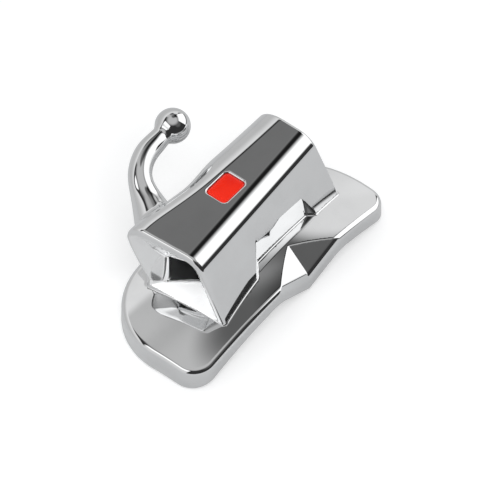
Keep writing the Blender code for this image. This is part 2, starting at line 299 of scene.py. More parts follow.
def makeFloor(v):
    half = v["size"] * mm / 2
    corners = [(-half, -half, 0), (half, -half, 0), (half, half, 0), (-half, half, 0)]
    mesh = bpy.data.meshes.new("floor")
    mesh.from_pydata(corners, [], [(0, 1, 2, 3)])
    floor = bpy.data.objects.new("floor", mesh)
    scene.collection.objects.link(floor)
    paint = bpy.data.materials.new("floorPaper")
    paint.use_nodes = True
    tree = paint.node_tree
    tree.nodes.clear()
    n = Nodes(tree)
    matt = n.add("ShaderNodeBsdfDiffuse")
    matt.inputs["Color"].default_value = (*v["colour"], 1)
    glow = n.add("ShaderNodeEmission")
    path = n.add("ShaderNodeLightPath")
    lift = n.math("MULTIPLY", path.outputs["Is Glossy Ray"], v["reflectionLift"])
    lift = n.mix(path.outputs["Is Camera Ray"], lift, v["lift"])
    n.feed(glow.inputs["Strength"], lift)
    both = n.add("ShaderNodeAddShader")
    n.feed(both.inputs[0], matt.outputs[0])
    n.feed(both.inputs[1], glow.outputs[0])
    n.feed(n.add("ShaderNodeOutputMaterial").inputs["Surface"], both.outputs[0])
    mesh.materials.append(paint)


# Neither the camera nor the polished faces see a lamp.
def placeLamp(data, target, towards, distance):
    lamp = bpy.data.objects.new(data.name, data)
    scene.collection.objects.link(lamp)
    lamp.location = target + towards * distance
    lamp.rotation_euler = towards.to_track_quat("Z", "Y").to_euler()
    lamp.visible_glossy = False
    lamp.visible_camera = False


def makeSoftLamp(v):
    data = bpy.data.lights.new("softLamp", "AREA")
    data.shape = "DISK"
    data.size = v["size"] * mm
    distance = v["distance"] * mm
    data.energy = v["strength"] * math.pi * math.pi * distance**2
    placeLamp(data, Vector((0, 0, 0)), Vector(unit(v["towards"])), distance)


# A narrow lamp that reaches the floor of the mouth.
def makeMouthLamp(v):
    data = bpy.data.lights.new("mouthLamp", "SPOT")
    distance = v["distance"] * mm
    data.energy = v["strength"] * 4 * math.pi * math.pi * distance**2
    data.spot_size = math.radians(v["spread"])
    data.spot_blend = v["edgeBlend"]
    data.shadow_soft_size = 0.001
    target = (Vector(workOrigin) + Vector(v["at"])) * mm
    placeLamp(data, target, Vector(unit(v["towards"])), distance)


makeWorld(studioValues)
makeFloor(studioValues["floor"])
makeSoftLamp(studioValues["softLamp"])
makeMouthLamp(studioValues["mouthLamp"])
scene.view_settings.view_transform = "Standard"
print("studio done")

# Finishes
polishValues = {
    "smudgeScale": 1.3,
    "smudgeDetail": 4.0,
    "smudgeFrom": (0.42, 0.72),
    "hairlineTurn": 0.10,
    "hairlineStretch": (0.9, 34.0, 34.0),
    "hairlineDetail": 2.0,
    "waveScale": 1.1,
}
steelValues = {
    "colour": (0.83, 0.835, 0.84),
    "worn": (0.79, 0.795, 0.80),
    "roughness": 0.028,
    "roughnessSpread": 0.03,
    "scratchDepth": 0.012,
    "waviness": 0.02,
    "bumpStrength": 0.02,
    "bumpDepth": 0.1,
    "satinColour": (0.86, 0.865, 0.87),
    "satinMetal": 0.30,
    "satinRoughness": 0.30,
}
enamelValues = {
    "colour": (0.92, 0.024, 0.007),
    "deep": (0.80, 0.012, 0.004),
    "shine": 0.35,
    "roughness": 0.16,
    "roughnessSpread": 0.06,
    "bumpStrength": 0.05,
    "bumpDepth": 0.1,
}


def newGroup(name, inputs, outputs):
    group = bpy.data.node_groups.new(name, "ShaderNodeTree")
    for way, rows in (("INPUT", inputs), ("OUTPUT", outputs)):
        for label, kind in rows:
            group.interface.new_socket(label, in_out=way, socket_type=kind)
    return group


# Wiped smudges, hairline polishing marks and a faint wave, in millimetres on the object.
def polishMarks(v):
    group = newGroup(
        "polishMarks",
        [("Scale", "NodeSocketFloat")],
        [("Smudge", "NodeSocketFloat"), ("Hairline", "NodeSocketFloat"), ("Wave", "NodeSocketFloat")],
    )
    n = Nodes(group)
    given = n.add("NodeGroupInput")
    out = n.add("NodeGroupOutput")
    place = n.add("ShaderNodeVectorMath", operation="SCALE")
    n.feed(place.inputs[0], n.add("ShaderNodeTexCoord").outputs["Object"])
    n.feed(place.inputs["Scale"], given.outputs["Scale"])
    smudge = n.noise(place.outputs[0], v["smudgeScale"], v["smudgeDetail"])
    n.feed(out.inputs["Smudge"], n.step(smudge, *v["smudgeFrom"]))
    turn = n.add("ShaderNodeMapping")
    n.feed(turn.inputs["Vector"], place.outputs[0])
    turn.inputs["Rotation"].default_value = (0.0, 0.0, v["hairlineTurn"])
    turn.inputs["Scale"].default_value = v["hairlineStretch"]
    n.feed(out.inputs["Hairline"], n.noise(turn.outputs[0], 1.0, v["hairlineDetail"]))
    n.feed(out.inputs["Wave"], n.noise(place.outputs[0], v["waveScale"], 0.0))
    return group


marks = polishMarks(polishValues)


def usePolish(n):
    made = n.add("ShaderNodeGroup")
    made.node_tree = marks
    made.inputs["Scale"].default_value = 1 / mm
    return made


# Polished steel; where the faces' own value satin rises, it turns to a pale satin finish.
def makeSteel(name, v):
    made = bpy.data.materials.new(name)
    made.use_nodes = True
    n = Nodes(made.node_tree)
    shader = made.node_tree.nodes["Principled BSDF"]
    polish = usePolish(n)
    satin = n.add("ShaderNodeAttribute", attribute_name="satin").outputs["Fac"]
    colour = n.tint(polish.outputs["Smudge"], (*v["colour"], 1), (*v["worn"], 1))
    n.feed(shader.inputs["Base Color"], n.tint(satin, colour, (*v["satinColour"], 1)))
    n.feed(shader.inputs["Metallic"], n.mix(satin, 1.0, v["satinMetal"]))
    low = v["roughness"]
    rough = n.step(polish.outputs["Smudge"], 0.0, 1.0, low, low + v["roughnessSpread"])
    n.feed(shader.inputs["Roughness"], n.mix(satin, rough, v["satinRoughness"]))
    height = n.math("MULTIPLY", polish.outputs["Hairline"], v["scratchDepth"])
    height = n.math("MULTIPLY_ADD", polish.outputs["Wave"], v["waviness"], height)
    n.feed(shader.inputs["Normal"], n.bump(height, v["bumpStrength"], v["bumpDepth"] * mm))
    return made


def makeEnamel(name, v):
    made = bpy.data.materials.new(name)
    made.use_nodes = True
    n = Nodes(made.node_tree)
    shader = made.node_tree.nodes["Principled BSDF"]
    polish = usePolish(n)
    colour = n.tint(polish.outputs["Smudge"], (*v["colour"], 1), (*v["deep"], 1))
    n.feed(shader.inputs["Base Color"], colour)
    shader.inputs["Specular IOR Level"].default_value = v["shine"]
    low = v["roughness"]
    rough = n.step(polish.outputs["Smudge"], 0.0, 1.0, low, low + v["roughnessSpread"])
    n.feed(shader.inputs["Roughness"], rough)
    n.feed(shader.inputs["Normal"], n.bump(polish.outputs["Wave"], v["bumpStrength"], v["bumpDepth"] * mm))
    return made


steel = makeSteel("polishedSteel", steelValues)
enamel = makeEnamel("redEnamel", enamelValues)
print("finishes done")


# Distance fields
# The larger of two distances, with a round of this radius; lean is the dot of the two faces' normals.
def roundMax(a, b, radius, lean=0.0):
    u = a + radius
    v = b + radius
    turned = (u > lean * v) & (v > lean * u)
    reach = np.sqrt(np.maximum(u * u + v * v - 2.0 * lean * u * v, 0.0) / (1.0 - lean * lean)) - radius
    return np.where(turned, reach, np.maximum(a, b))


def roundMin(a, b, radius, lean=0.0):
    return -roundMax(-a, -b, radius, lean)


def softMin(a, b, width):
    near = np.maximum(1.0 - np.abs(a - b) / width, 0.0)
    return np.minimum(a, b) - width * near * near * 0.25


def ramp(value, low, high):
    share = np.clip((value - low) / (high - low), 0.0, 1.0)
    return share * share * (3.0 - 2.0 * share)


def blend(share, a, b):
    return a + (b - a) * share


# Bonding pad
padValues = {
    "mesial": -1.22,
    "distal": 4.62,
    "occlusal": -0.33,
    "gingival": 2.36,
    "mesialCorner": 0.50,
    "distalCorner": 0.42,
    "mesialSweep": (1.54, 1.56, 2.0),
    "distalSweep": (2.40, 2.26, 2.45),
    "thickness": 0.36,
    "thickeningMesial": 0.14,
    "thickeningDistal": 0.07,
    "crown": (1.70, 0.60),
    "radiusAlong": 12.0,
    "radiusAcross": 6.5,
    "topRound": 0.10,
    "bottomRound": 0.06,
    "grooveX": 2.17,
    "grooveLean": 0.136,
    "grooveApex": 0.26,
    "grooveSteepness": 0.73,
    "flankMesial": 0.43,
    "flankDistal": 0.318,
    "valleyRound": 0.045,
    "shoulderRound": 0.05,
    "fieldBorder": 0.24,
    "fieldDepth": 0.10,
    "fieldCorner": 0.05,
    "fieldEdge": 0.03,
    "undersideBlend": 0.08,
    "shoulderLean": 0.78,
    "bottomSlant": 1.05,
    "outlineStep": 0.03,
    "outlineMargin": 0.5,
}


def turnPoints(centre, reach, fullness, start, end, steps=60):
    points = []
    for i in range(steps + 1):
        angle = math.radians(start + (end - start) * i / steps)
        c, s = math.cos(angle), math.sin(angle)
        x = centre[0] + reach[0] * math.copysign(abs(c) ** (2 / fullness), c)
        y = centre[1] + reach[1] * math.copysign(abs(s) ** (2 / fullness), s)
        points.append((x, y))
    return points


def padOutline(v):
    a, b = v["mesialCorner"], v["distalCorner"]
    m, d = v["mesialSweep"], v["distalSweep"]
    points = turnPoints((v["mesial"] + a, v["occlusal"] + a), (a, a), 2.0, 180, 270)
    points += turnPoints((v["distal"] - b, v["occlusal"] + b), (b, b), 2.0, 270, 360)
    points += turnPoints((v["distal"] - d[0], v["gingival"] - d[1]), d[:2], d[2], 0, 90, 160)
    points += turnPoints((v["mesial"] + m[0], v["gingival"] - m[1]), m[:2], m[2], 90, 180, 120)
    return np.array(points)


# Signed distance to a closed outline, kept on a grid and read with cubic weights.
class FlatField:

    def __init__(self, outline, step, margin):
        self.low = outline.min(axis=0) - margin
        self.step = step
        count = np.ceil((outline.max(axis=0) + margin - self.low) / step).astype(int) + 1
        xs = self.low[0] + step * np.arange(count[0])
        ys = self.low[1] + step * np.arange(count[1])
        gx, gy = np.meshgrid(xs, ys, indexing="ij")
        best = np.full(gx.shape, 1e9)
        inside = np.zeros(gx.shape, bool)
        for p, q in zip(outline, np.roll(outline, -1, axis=0)):
            edge = q - p
            size = edge @ edge
            if size < 1e-12:
                continue
            along = np.clip(((gx - p[0]) * edge[0] + (gy - p[1]) * edge[1]) / size, 0.0, 1.0)
            best = np.minimum(best, (gx - p[0] - along * edge[0]) ** 2 + (gy - p[1] - along * edge[1]) ** 2)
            if p[1] != q[1]:
                crosses = (gy >= min(p[1], q[1])) & (gy < max(p[1], q[1]))
                inside ^= crosses & (gx < p[0] + (gy - p[1]) * edge[0] / edge[1])
        self.values = np.where(inside, -1.0, 1.0) * np.sqrt(best)

    def read(self, x, y):
        u = np.clip((x - self.low[0]) / self.step, 1.0, self.values.shape[0] - 2.001)
        w = np.clip((y - self.low[1]) / self.step, 1.0, self.values.shape[1] - 2.001)
        i, j = u.astype(int), w.astype(int)
        total = 0.0
        for k, a in enumerate(self.weights(u - i)):
            row = 0.0
            for m, b in enumerate(self.weights(w - j)):
                row = row + b * self.values[i + k - 1, j + m - 1]
            total = total + a * row
        return total

    def weights(self, t):
        return (
            0.5 * (-t + 2 * t**2 - t**3),
            0.5 * (2 - 5 * t**2 + 3 * t**3),
            0.5 * (t + 4 * t**2 - 3 * t**3),
            0.5 * (t**3 - t**2),
        )


outlineField = FlatField(padOutline(padValues), padValues["outlineStep"], padValues["outlineMargin"])


# Height of the pad's crowned outer face.
def padCrown(x, y):
    v = padValues
    cx, cy = v["crown"]
    corner = cx**2 / (2 * v["radiusAlong"]) + cy**2 / (2 * v["radiusAcross"])
    return corner - (x - cx) ** 2 / (2 * v["radiusAlong"]) - (y - cy) ** 2 / (2 * v["radiusAcross"])


# Heights of the groove's two sloping sides.
def grooveFlanks(x, y):
    v = padValues
    valleyX = v["grooveX"] + v["grooveLean"] * (y - v["occlusal"])
    valleyZ = padCrown(v["grooveX"], v["grooveApex"]) - v["grooveSteepness"] * (v["grooveApex"] - y)
    return valleyZ + v["flankMesial"] * (valleyX - x), valleyZ + v["flankDistal"] * (x - valleyX)


def padBottom(x, y):
    v = padValues
    left, right = grooveFlanks(x, y)
    reach = (x - v["crown"][0]) / (v["distal"] - v["crown"][0])
    thickening = np.where(x < v["crown"][0], v["thickeningMesial"], v["thickeningDistal"])
    top = softMin(padCrown(x, y), np.maximum(left, right), v["undersideBlend"])
    return top - v["thickness"] - thickening * reach**2


def padField(x, y, z):
    v = padValues
    side = outlineField.read(x, y)
    cx, cy = v["crown"]
    tilt = np.sqrt(1.0 + ((x - cx) / v["radiusAlong"]) ** 2 + ((y - cy) / v["radiusAcross"]) ** 2)
    crown = (z - padCrown(x, y)) / tilt
    leftZ, rightZ = grooveFlanks(x, y)
    rise, lean = v["grooveSteepness"], v["grooveLean"]
    leftNormal = np.array((v["flankMesial"], -rise - v["flankMesial"] * lean, 1.0))
    rightNormal = np.array((-v["flankDistal"], -rise + v["flankDistal"] * lean, 1.0))
    leftSize, rightSize = np.linalg.norm(leftNormal), np.linalg.norm(rightNormal)
    valley = leftNormal @ rightNormal / leftSize / rightSize
    groove = roundMin((z - leftZ) / leftSize, (z - rightZ) / rightSize, v["valleyRound"], valley)
    top = roundMax(crown, groove, v["shoulderRound"], v["shoulderLean"])
    bottom = (padBottom(x, y) - z) / v["bottomSlant"]
    return roundMax(roundMax(top, side, v["topRound"]), bottom, v["bottomRound"]), side


# Tube
tubeValues = {
    "length": 3.79,
    "height": 1.45,
    "mouthSlant": 0.046,
    "distalLean": 0.14,
    "roofOcclusal": 0.643,
    "roofOcclusalTaper": 0.073,
    "footTaper": 0.110,
    "roofGingival": 1.58,
    "gingivalFlare": 0.326,
    "gingivalFlareLength": 1.30,
    "roundOcclusal": 0.45,
    "roundGingival": 0.43,
    "roundWidening": 0.20,
    "wideningFrom": (1.3, 2.4),
    "undercut": (0.60, 0.38),
    "undercutPower": 1.3,
    "undercutReach": 1.7,
    "flare": (0.26, 0.05),
    "flareHeight": 0.32,
    "flareFootY": 1.9,
    "mouthRound": 0.07,
    "distalRound": 0.06,
    "seat": 0.18,
    "footMesial": 0.045,
    "footDistal": 0.035,
    "footGingival": 0.22,
    "footFront": 0.02,
    "footFrontFrom": (-0.03, 0.12),
    "footGingivalFrom": (0.9, 1.7),
    "footLean": 0.38,
    "footLeanPocket": -0.07,
    "footLeanGingival": -0.35,
    "pocketX": 2.33,
    "pocketWall": 0.473,
    "pocketTurn": 0.030,
    "pocketDraft": 0.065,
    "pocketTwist": 0.025,
    "pocketHalf": 0.795,
    "pocketCorner": 0.10,
    "pocketLean": 0.707,
    "pocketEdge": 0.03,
    "pocketFootEnd": (0.10, 0.18),
}


# The gingival shoulder grows rounder behind the hook.
def shoulderRound(x):
    v = tubeValues
    return v["roundGingival"] + v["roundWidening"] * ramp(x, *v["wideningFrom"])


# How far down the gingival wall a height is, and how near the pad it is.
def wallShares(z, low, padZ):
    v = tubeValues
    depth = np.clip((low - z) / low, 0.0, v["undercutReach"])
    near = np.clip(1.0 - (z - padZ) / v["flareHeight"], 0.0, 1.0)
    return depth, near


# Distances outwards from the roof, the occlusal wall and the gingival wall, and the wall's lean.
def tubeSides(x, y, z):
    v = tubeValues
    shoulder = shoulderRound(x)
    height = v["height"]
    roof = z - height
    lean = (v["roofOcclusal"] + (v["roofOcclusalTaper"] - v["footTaper"]) * x) / height
    size = np.sqrt(1.0 + lean**2 + v["footTaper"] ** 2)
    wall = (v["footTaper"] * x + lean * z - y) / size
    ratio = x / v["gingivalFlareLength"]
    start = v["roofGingival"] + v["gingivalFlare"] / (1.0 + ratio**2)
    startSlope = -2.0 * ratio * v["gingivalFlare"] / (1.0 + ratio**2) ** 2 / v["gingivalFlareLength"]
    low = height - shoulder
    depth, near = wallShares(z, low, padCrown(x, v["flareFootY"]))
    share = np.clip(x / v["length"], 0.0, 1.0)
    undercut = blend(share, *v["undercut"])
    flare = blend(share, *v["flare"])
    power = v["undercutPower"]
    wallSlope = power * undercut * depth ** (power - 1.0) / low - 2.0 * flare * near / v["flareHeight"]
    far = y - start - shoulder + undercut * depth**power - flare * near**2
    return roof, wall, far / np.sqrt(1.0 + startSlope**2 + wallSlope**2), lean / size


def tubeField(x, y, z):
    v = tubeValues
    roof, wall, far, lean = tubeSides(x, y, z)
    form = roundMax(roof, wall, v["roundOcclusal"], lean)
    form = roundMax(form, far, shoulderRound(x))
    mouth = (-v["mouthSlant"] * y - x) / math.sqrt(1 + v["mouthSlant"] ** 2)
    form = roundMax(form, mouth, v["mouthRound"])
    distal = (x - v["length"] - v["distalLean"] * (v["height"] - z)) / math.sqrt(1 + v["distalLean"] ** 2)
    form = roundMax(form, distal, v["distalRound"])
    return np.maximum(form, padCrown(x, y) - v["seat"] - z)


# The relief cut into the occlusal wall above the groove.
def pocketField(x, y, z):
    v = tubeValues
    along = x - v["pocketX"]
    draft = v["pocketDraft"] + v["pocketTwist"] * along / v["pocketHalf"]
    inner = (y - v["pocketWall"] - v["pocketTurn"] * along - draft * z) / math.sqrt(1 + v["pocketDraft"] ** 2)
    flank = (np.abs(along) - v["pocketHalf"] - v["pocketWall"] + y) / math.sqrt(2.0)
    return roundMax(inner, flank, v["pocketCorner"], v["pocketLean"])


# Archwire slot and its funnel
slotValues = {
    "width": 0.5708,
    "height": 0.7232,
    "gingival": 1.505,
    "floor": 0.12,
    "corner": 0.03,
    "frameGingival": 0.110,
    "frameOcclusal": 0.700,
    "frameBeyond": 0.10,
    "mouthRoof": 1.26,
    "roofBend": 1.1,
    "roofReach": 1.3,
    "roofLean": 0.3,
    "lipHeight": 0.055,
    "lipFall": 0.032,
    "floorReach": 1.2,
    "floorCorner": 0.015,
    "sideRim": 0.175,
    "gingivalRim": 0.065,
    "roofCornerOcclusal": 0.26,
    "roofCornerGingival": 0.08,
    "facetCorner": 0.01,
    "facetWidth": 0.6,
    "edgeRound": 0.07,
    "rimRound": 0.045,
    "slotSatin": 0.06,
    "facetSatin": 0.28,
}


# How far the mouth opens to the gingival side at each height.
def mouthGingival(z):
    v = tubeValues
    depth, near = wallShares(z, v["height"] - v["roundGingival"], padCrown(0.0, v["flareFootY"]))
    edge = v["roofGingival"] + v["gingivalFlare"] + v["roundGingival"] - slotValues["gingivalRim"]
    return edge - v["undercut"][0] * depth ** v["undercutPower"] + v["flare"][0] * near**2


# Where the slanting frame of the slot stands, and how much it slants.
def slotFrame(y):
    v = slotValues
    run = (v["frameOcclusal"] - v["frameGingival"]) / v["width"]
    return v["frameGingival"] + (v["gingival"] - y) * run, run


# Funnel from the mouth to the slot's frame: bent roof, leaning side, gingival facet and ruled floor.
def funnelField(x, y, z):
    v = slotValues
    slant = tubeValues["mouthSlant"]
    near = v["gingival"] - v["width"]
    frameX, run = slotFrame(y)
    least, most = v["frameGingival"] + slant * v["gingival"], v["frameOcclusal"] + v["frameBeyond"]
    depth = np.clip(frameX + slant * y, least, most)
    share = (x + slant * y) / depth

    bend = v["roofBend"]
    fall = v["mouthRoof"] - v["floor"] - v["height"]
    bent = np.clip(share, 0.0, v["roofReach"])
    slope = fall * bend * bent ** (bend - 1.0) / depth
    roof = (z - v["mouthRoof"] + fall * bent**bend) / np.sqrt(1.0 + slope**2)

    lip = v["lipHeight"] - v["lipFall"] * y
    climb = v["floor"] - lip
    floor = (lip + climb * np.clip(share, 0.0, v["floorReach"]) - z) / np.sqrt(1.0 + (climb / depth) ** 2)

    lean = tubeValues["roofOcclusal"] / tubeValues["height"]
    across = lean * z + v["sideRim"]
    sideShare = (x + slant * y) / v["frameOcclusal"]
    sideSlope = (near - across) / v["frameOcclusal"]
    inner = across + (near - across) * sideShare
    side = (inner - y) / np.sqrt(1.0 + sideSlope**2 + (lean * (1 - sideShare)) ** 2)

    mouthY = mouthGingival(z)
    mouthX = -slant * mouthY
    alongX, alongY = v["frameGingival"] - mouthX, v["gingival"] - mouthY
    facet = ((y - mouthY) * alongX - (x - mouthX) * alongY) / np.sqrt(alongX**2 + alongY**2)

    corner = v["corner"] + (v["roofCornerOcclusal"] - v["corner"]) * np.clip(1.0 - sideShare, 0.0, 1.0)
    wide = np.clip(-alongY / v["facetWidth"], 0.0, 1.0) * np.clip(1.0 - share, 0.0, 1.0)
    funnel = roundMax(roof, side, corner, v["roofLean"])
    funnel = roundMax(funnel, facet, v["roofCornerGingival"] * wide + v["facetCorner"])
    funnel = roundMax(funnel, floor, v["floorCorner"])
    frame = np.minimum((x - frameX) / math.sqrt(1.0 + run**2), v["gingival"] - y)
    return np.maximum(funnel, frame)


def openingField(x, y, z):
    v = slotValues
    middleY = v["gingival"] - v["width"] / 2
    middleZ = v["floor"] + v["height"] / 2
    slot = roundMax(np.abs(y - middleY) - v["width"] / 2, np.abs(z - middleZ) - v["height"] / 2, v["corner"])
    return roundMin(funnelField(x, y, z), slot, v["edgeRound"])


# Ball hook
hookValues = {
    "path": (
        (0.55, 2.02, 0.70),
        (0.80, 2.42, 0.84),
        (1.00, 2.78, 0.99),
        (1.22, 3.05, 1.15),
        (1.60, 3.22, 1.22),
        (1.93, 3.25, 1.24),
        (2.20, 3.26, 1.25),
        (2.45, 3.24, 1.27),
    ),
    "radii": (0.46, 0.37, 0.27, 0.232, 0.228, 0.215, 0.195, 0.190),
    "ball": 0.347,
    "neckRound": 0.06,
    "rootRound": 0.09,
    "boxLow": (-0.6, 1.1, -0.2),
    "boxHigh": (3.3, 4.1, 2.1),
}


# A natural cubic spline through points with a radius at each.
class SmoothPath:

    def __init__(self, points, radii):
        rows = np.column_stack((np.array(points, float), np.array(radii, float)))
        count = len(rows)
        system = np.eye(count)
        right = np.zeros_like(rows)
        for i in range(1, count - 1):
            system[i, i - 1 : i + 2] = (1, 4, 1)
            right[i] = 6 * (rows[i - 1] - 2 * rows[i] + rows[i + 1])
        bend = np.linalg.solve(system, right)
        self.a = rows[:-1]
        self.b = rows[1:] - rows[:-1] - (2 * bend[:-1] + bend[1:]) / 6
        self.c = bend[:-1] / 2
        self.d = (bend[1:] - bend[:-1]) / 6
        self.spans = count - 1

    def at(self, t):
        i = np.clip(t.astype(int), 0, self.spans - 1)
        s = (t - i)[:, None]
        a, b, c, d = self.a[i], self.b[i], self.c[i], self.d[i]
        return a + s * (b + s * (c + s * d)), b + s * (2 * c + 3 * s * d), 2 * c + 6 * s * d

    def distance(self, points):
        stops = np.linspace(0, self.spans, 4 * self.spans + 1)
        places = self.at(stops)[0][:, :3]
        best = np.full(len(points), 1e9)
        t = np.zeros(len(points))
        for stop, place in zip(stops, places):
            away = ((points - place) ** 2).sum(axis=1)
            nearer = away < best
            best[nearer] = away[nearer]
            t[nearer] = stop
        for _ in range(4):
            place, speed, bend = self.at(t)
            gap = place[:, :3] - points
            first = (gap * speed[:, :3]).sum(axis=1)
            second = (speed[:, :3] ** 2).sum(axis=1) + np.maximum((gap * bend[:, :3]).sum(axis=1), -0.02)
            t = np.clip(t - np.clip(first / second, -0.3, 0.3), 0.0, self.spans)
        place = self.at(t)[0]
        return np.sqrt(((place[:, :3] - points) ** 2).sum(axis=1)) - place[:, 3]


hookPath = SmoothPath(hookValues["path"], hookValues["radii"])


# Only worked out inside the hook's box; farther off it is simply far.
def hookField(x, y, z):
    v = hookValues
    found = np.full(x.shape, 1.0)
    low, high = v["boxLow"], v["boxHigh"]
    near = (x > low[0]) & (x < high[0]) & (y > low[1]) & (y < high[1]) & (z > low[2]) & (z < high[2])
    if near.any():
        points = np.column_stack((x[near], y[near], z[near]))
        stem = hookPath.distance(points)
        ball = np.sqrt(((points - np.array(v["path"][-1])) ** 2).sum(axis=1)) - v["ball"]
        found[near] = roundMin(stem, ball, v["neckRound"])
    return found


# Marking, whose recess is part of the metal body
markValues = {
    "centre": (1.775, 1.405),
    "length": 0.655,
    "width": 0.474,
    "corner": 0.09,
    "recess": 0.10,
    "recessEdge": 0.045,
    "clearance": 0.006,
    "below": 0.022,
    "dome": 0.012,
    "edgeDrop": 0.012,
    "edgeWidth": 0.10,
    "turns": 96,
    "rings": 14,
    "firstRing": 0.25,
    "lastRing": 0.005,
}


# Distance to the marking's rounded rectangle, seen from above.
def markField(x, y):
    v = markValues
    a = np.abs(x - v["centre"][0]) - v["length"] / 2
    b = np.abs(y - v["centre"][1]) - v["width"] / 2
    return roundMax(a, b, v["corner"])


# Whole metal body
def bodyField(points):
    x, y, z = points[:, 0], points[:, 1], points[:, 2]
    v = tubeValues
    pad, side = padField(x, y, z)
    tube = roundMax(tubeField(x, y, z), -pocketField(x, y, z), v["pocketEdge"])
    body = roundMin(tube, hookField(x, y, z), hookValues["rootRound"])

    along = ramp(x, 0.0, v["length"])
    gingivalSide = ramp(y, *v["footGingivalFrom"])
    foot = blend(gingivalSide, blend(along, v["footMesial"], v["footDistal"]), v["footGingival"])
    foot = blend(ramp(x, *v["footFrontFrom"]), v["footFront"], foot)
    ends = [v["pocketHalf"] + end for end in v["pocketFootEnd"]]
    inPocket = 1.0 - ramp(np.abs(x - v["pocketX"]), *ends)
    lean = blend(gingivalSide, blend(inPocket, v["footLean"], v["footLeanPocket"]), v["footLeanGingival"])
    body = roundMin(body, pad, foot, lean)

    body = roundMax(body, -openingField(x, y, z), slotValues["rimRound"])
    recess = np.maximum(markField(x, y), v["height"] - markValues["recess"] - z)
    body = roundMax(body, -recess, markValues["recessEdge"])
    p = padValues
    field = roundMax(side + p["fieldBorder"], z - padBottom(x, y) - p["fieldDepth"], p["fieldCorner"])
    return roundMax(body, -field, p["fieldEdge"])


# Surface from a field
surfaceValues = {
    "block": 8,
    "blockReach": 1.15,
    "crossingSteps": 2,
    "slopeGap": 0.0015,
    "centrePull": 0.03,
}
normalValues = {
    "gap": 0.002,
    "crease": 9.0,
    "uneven": 0.2,
    "turned": 24.0,
    "inwards": 0.30,
    "least": 0.1,
}


def inParts(function, points, size=150000):
    return np.concatenate([function(points[i : i + size]) for i in range(0, len(points), size)])


def slopeOf(function, points, gap):
    corners = ((1, -1, -1), (-1, -1, 1), (-1, 1, -1), (1, 1, 1))
    total = np.zeros_like(points)
    for corner in corners:
        turn = np.array(corner, float)
        total += inParts(function, points + turn * gap)[:, None] * turn
    size = np.linalg.norm(total, axis=1)
    return total / np.maximum(size, 1e-12)[:, None]


# The field at a grid's corners, read only near its zero and elsewhere filled in with its sign.
def readGrid(function, low, high, step):
    block = surfaceValues["block"]
    coarse = step * block
    count = np.ceil((high - low) / coarse).astype(int) + 1
    grids = np.meshgrid(*[np.arange(c) for c in count], indexing="ij")
    centres = np.column_stack([g.ravel() for g in grids]) * coarse + low + coarse / 2
    middle = inParts(function, centres).reshape(count)
    signs = np.repeat(np.repeat(np.repeat(middle, block, 0), block, 1), block, 2)
    values = np.full(count * block + 1, 9.0, np.float32)
    values[:-1, :-1, :-1] = np.where(signs > 0, 9.0, -9.0)
    wanted = np.zeros(values.shape, bool)
    for corner in np.argwhere(np.abs(middle) < coarse * surfaceValues["blockReach"]) * block:
        wanted[tuple(slice(c, c + block + 1) for c in corner)] = True
    places = np.argwhere(wanted)
    values[tuple(places.T)] = inParts(function, places * step + low)
    print("field read at", len(places), "points")
    return values


# Where the grid's edges cross the zero: their low ends, axes and whether they run outwards, and the points.
def crossings(function, values, low, step):
    starts, axes = [], []
    for axis in range(3):
        first = [slice(None)] * 3
        second = [slice(None)] * 3
        first[axis], second[axis] = slice(0, -1), slice(1, None)
        change = np.argwhere((values[tuple(first)] > 0) != (values[tuple(second)] > 0))
        starts.append(change)
        axes.append(np.full(len(change), axis))
    starts, axes = np.concatenate(starts), np.concatenate(axes)
    ends = starts + np.eye(3, dtype=int)[axes]
    a = values[tuple(starts.T)].astype(float)
    b = values[tuple(ends.T)].astype(float)
    rising = a < 0
    p, q = starts * step + low, ends * step + low
    share = a / (a - b)
    for _ in range(surfaceValues["crossingSteps"]):
        at = p + (q - p) * share[:, None]
        now = inParts(function, at)
        same = (now > 0) == (a > 0)
        p = np.where(same[:, None], at, p)
        a = np.where(same, now, a)
        q = np.where(same[:, None], q, at)
        b = np.where(same, b, now)
        apart = np.abs(a - b) > 1e-12
        share = np.where(apart, a / np.where(apart, a - b, 1.0), 0.5)
    return starts, axes, rising, p + (q - p) * share[:, None]


# One point for each cell, where the faces through its crossings meet.
def cellPoints(index, total, at, normal):
    flat = index.ravel()

    def gather(weights):
        return np.bincount(flat, weights=np.repeat(weights, 4), minlength=total)

    number = gather(np.ones(len(at)))
    mean = np.column_stack([gather(at[:, k]) for k in range(3)]) / number[:, None]
    reach = (normal * at).sum(axis=1)
    matrix = np.zeros((total, 3, 3))
    right = np.zeros((total, 3))
    for i in range(3):
        right[:, i] = gather(normal[:, i] * reach)
        for j in range(i, 3):
            matrix[:, i, j] = matrix[:, j, i] = gather(normal[:, i] * normal[:, j])
    right -= np.einsum("nij,nj->ni", matrix, mean)
    matrix += np.eye(3) * surfaceValues["centrePull"]
    return mean + np.linalg.solve(matrix, right[:, :, None])[:, :, 0]


# Closed quads on the field's zero, with points drawn to its edges and corners.
def surfaceOf(function, low, high, step):
    values = readGrid(function, low, high, step)
    starts, axes, rising, at = crossings(function, values, low, step)
    normal = slopeOf(function, at, surfaceValues["slopeGap"])
    others = np.array(((1, 2), (2, 0), (0, 1)))[axes]
    rows = np.arange(len(starts))
    around = []
    for da, db in ((-1, -1), (0, -1), (0, 0), (-1, 0)):
        cell = starts.copy()
        cell[rows, others[:, 0]] += da
        cell[rows, others[:, 1]] += db
        around.append(np.ravel_multi_index(cell.T, values.shape))
    around = np.array(around).T
    cells, index = np.unique(around, return_inverse=True)
    index = index.reshape(around.shape)
    corner = np.column_stack(np.unravel_index(cells, values.shape)) * step + low
    points = np.clip(cellPoints(index, len(cells), at, normal), corner, corner + step)
    return points, np.where(rising[:, None], index, index[:, ::-1])


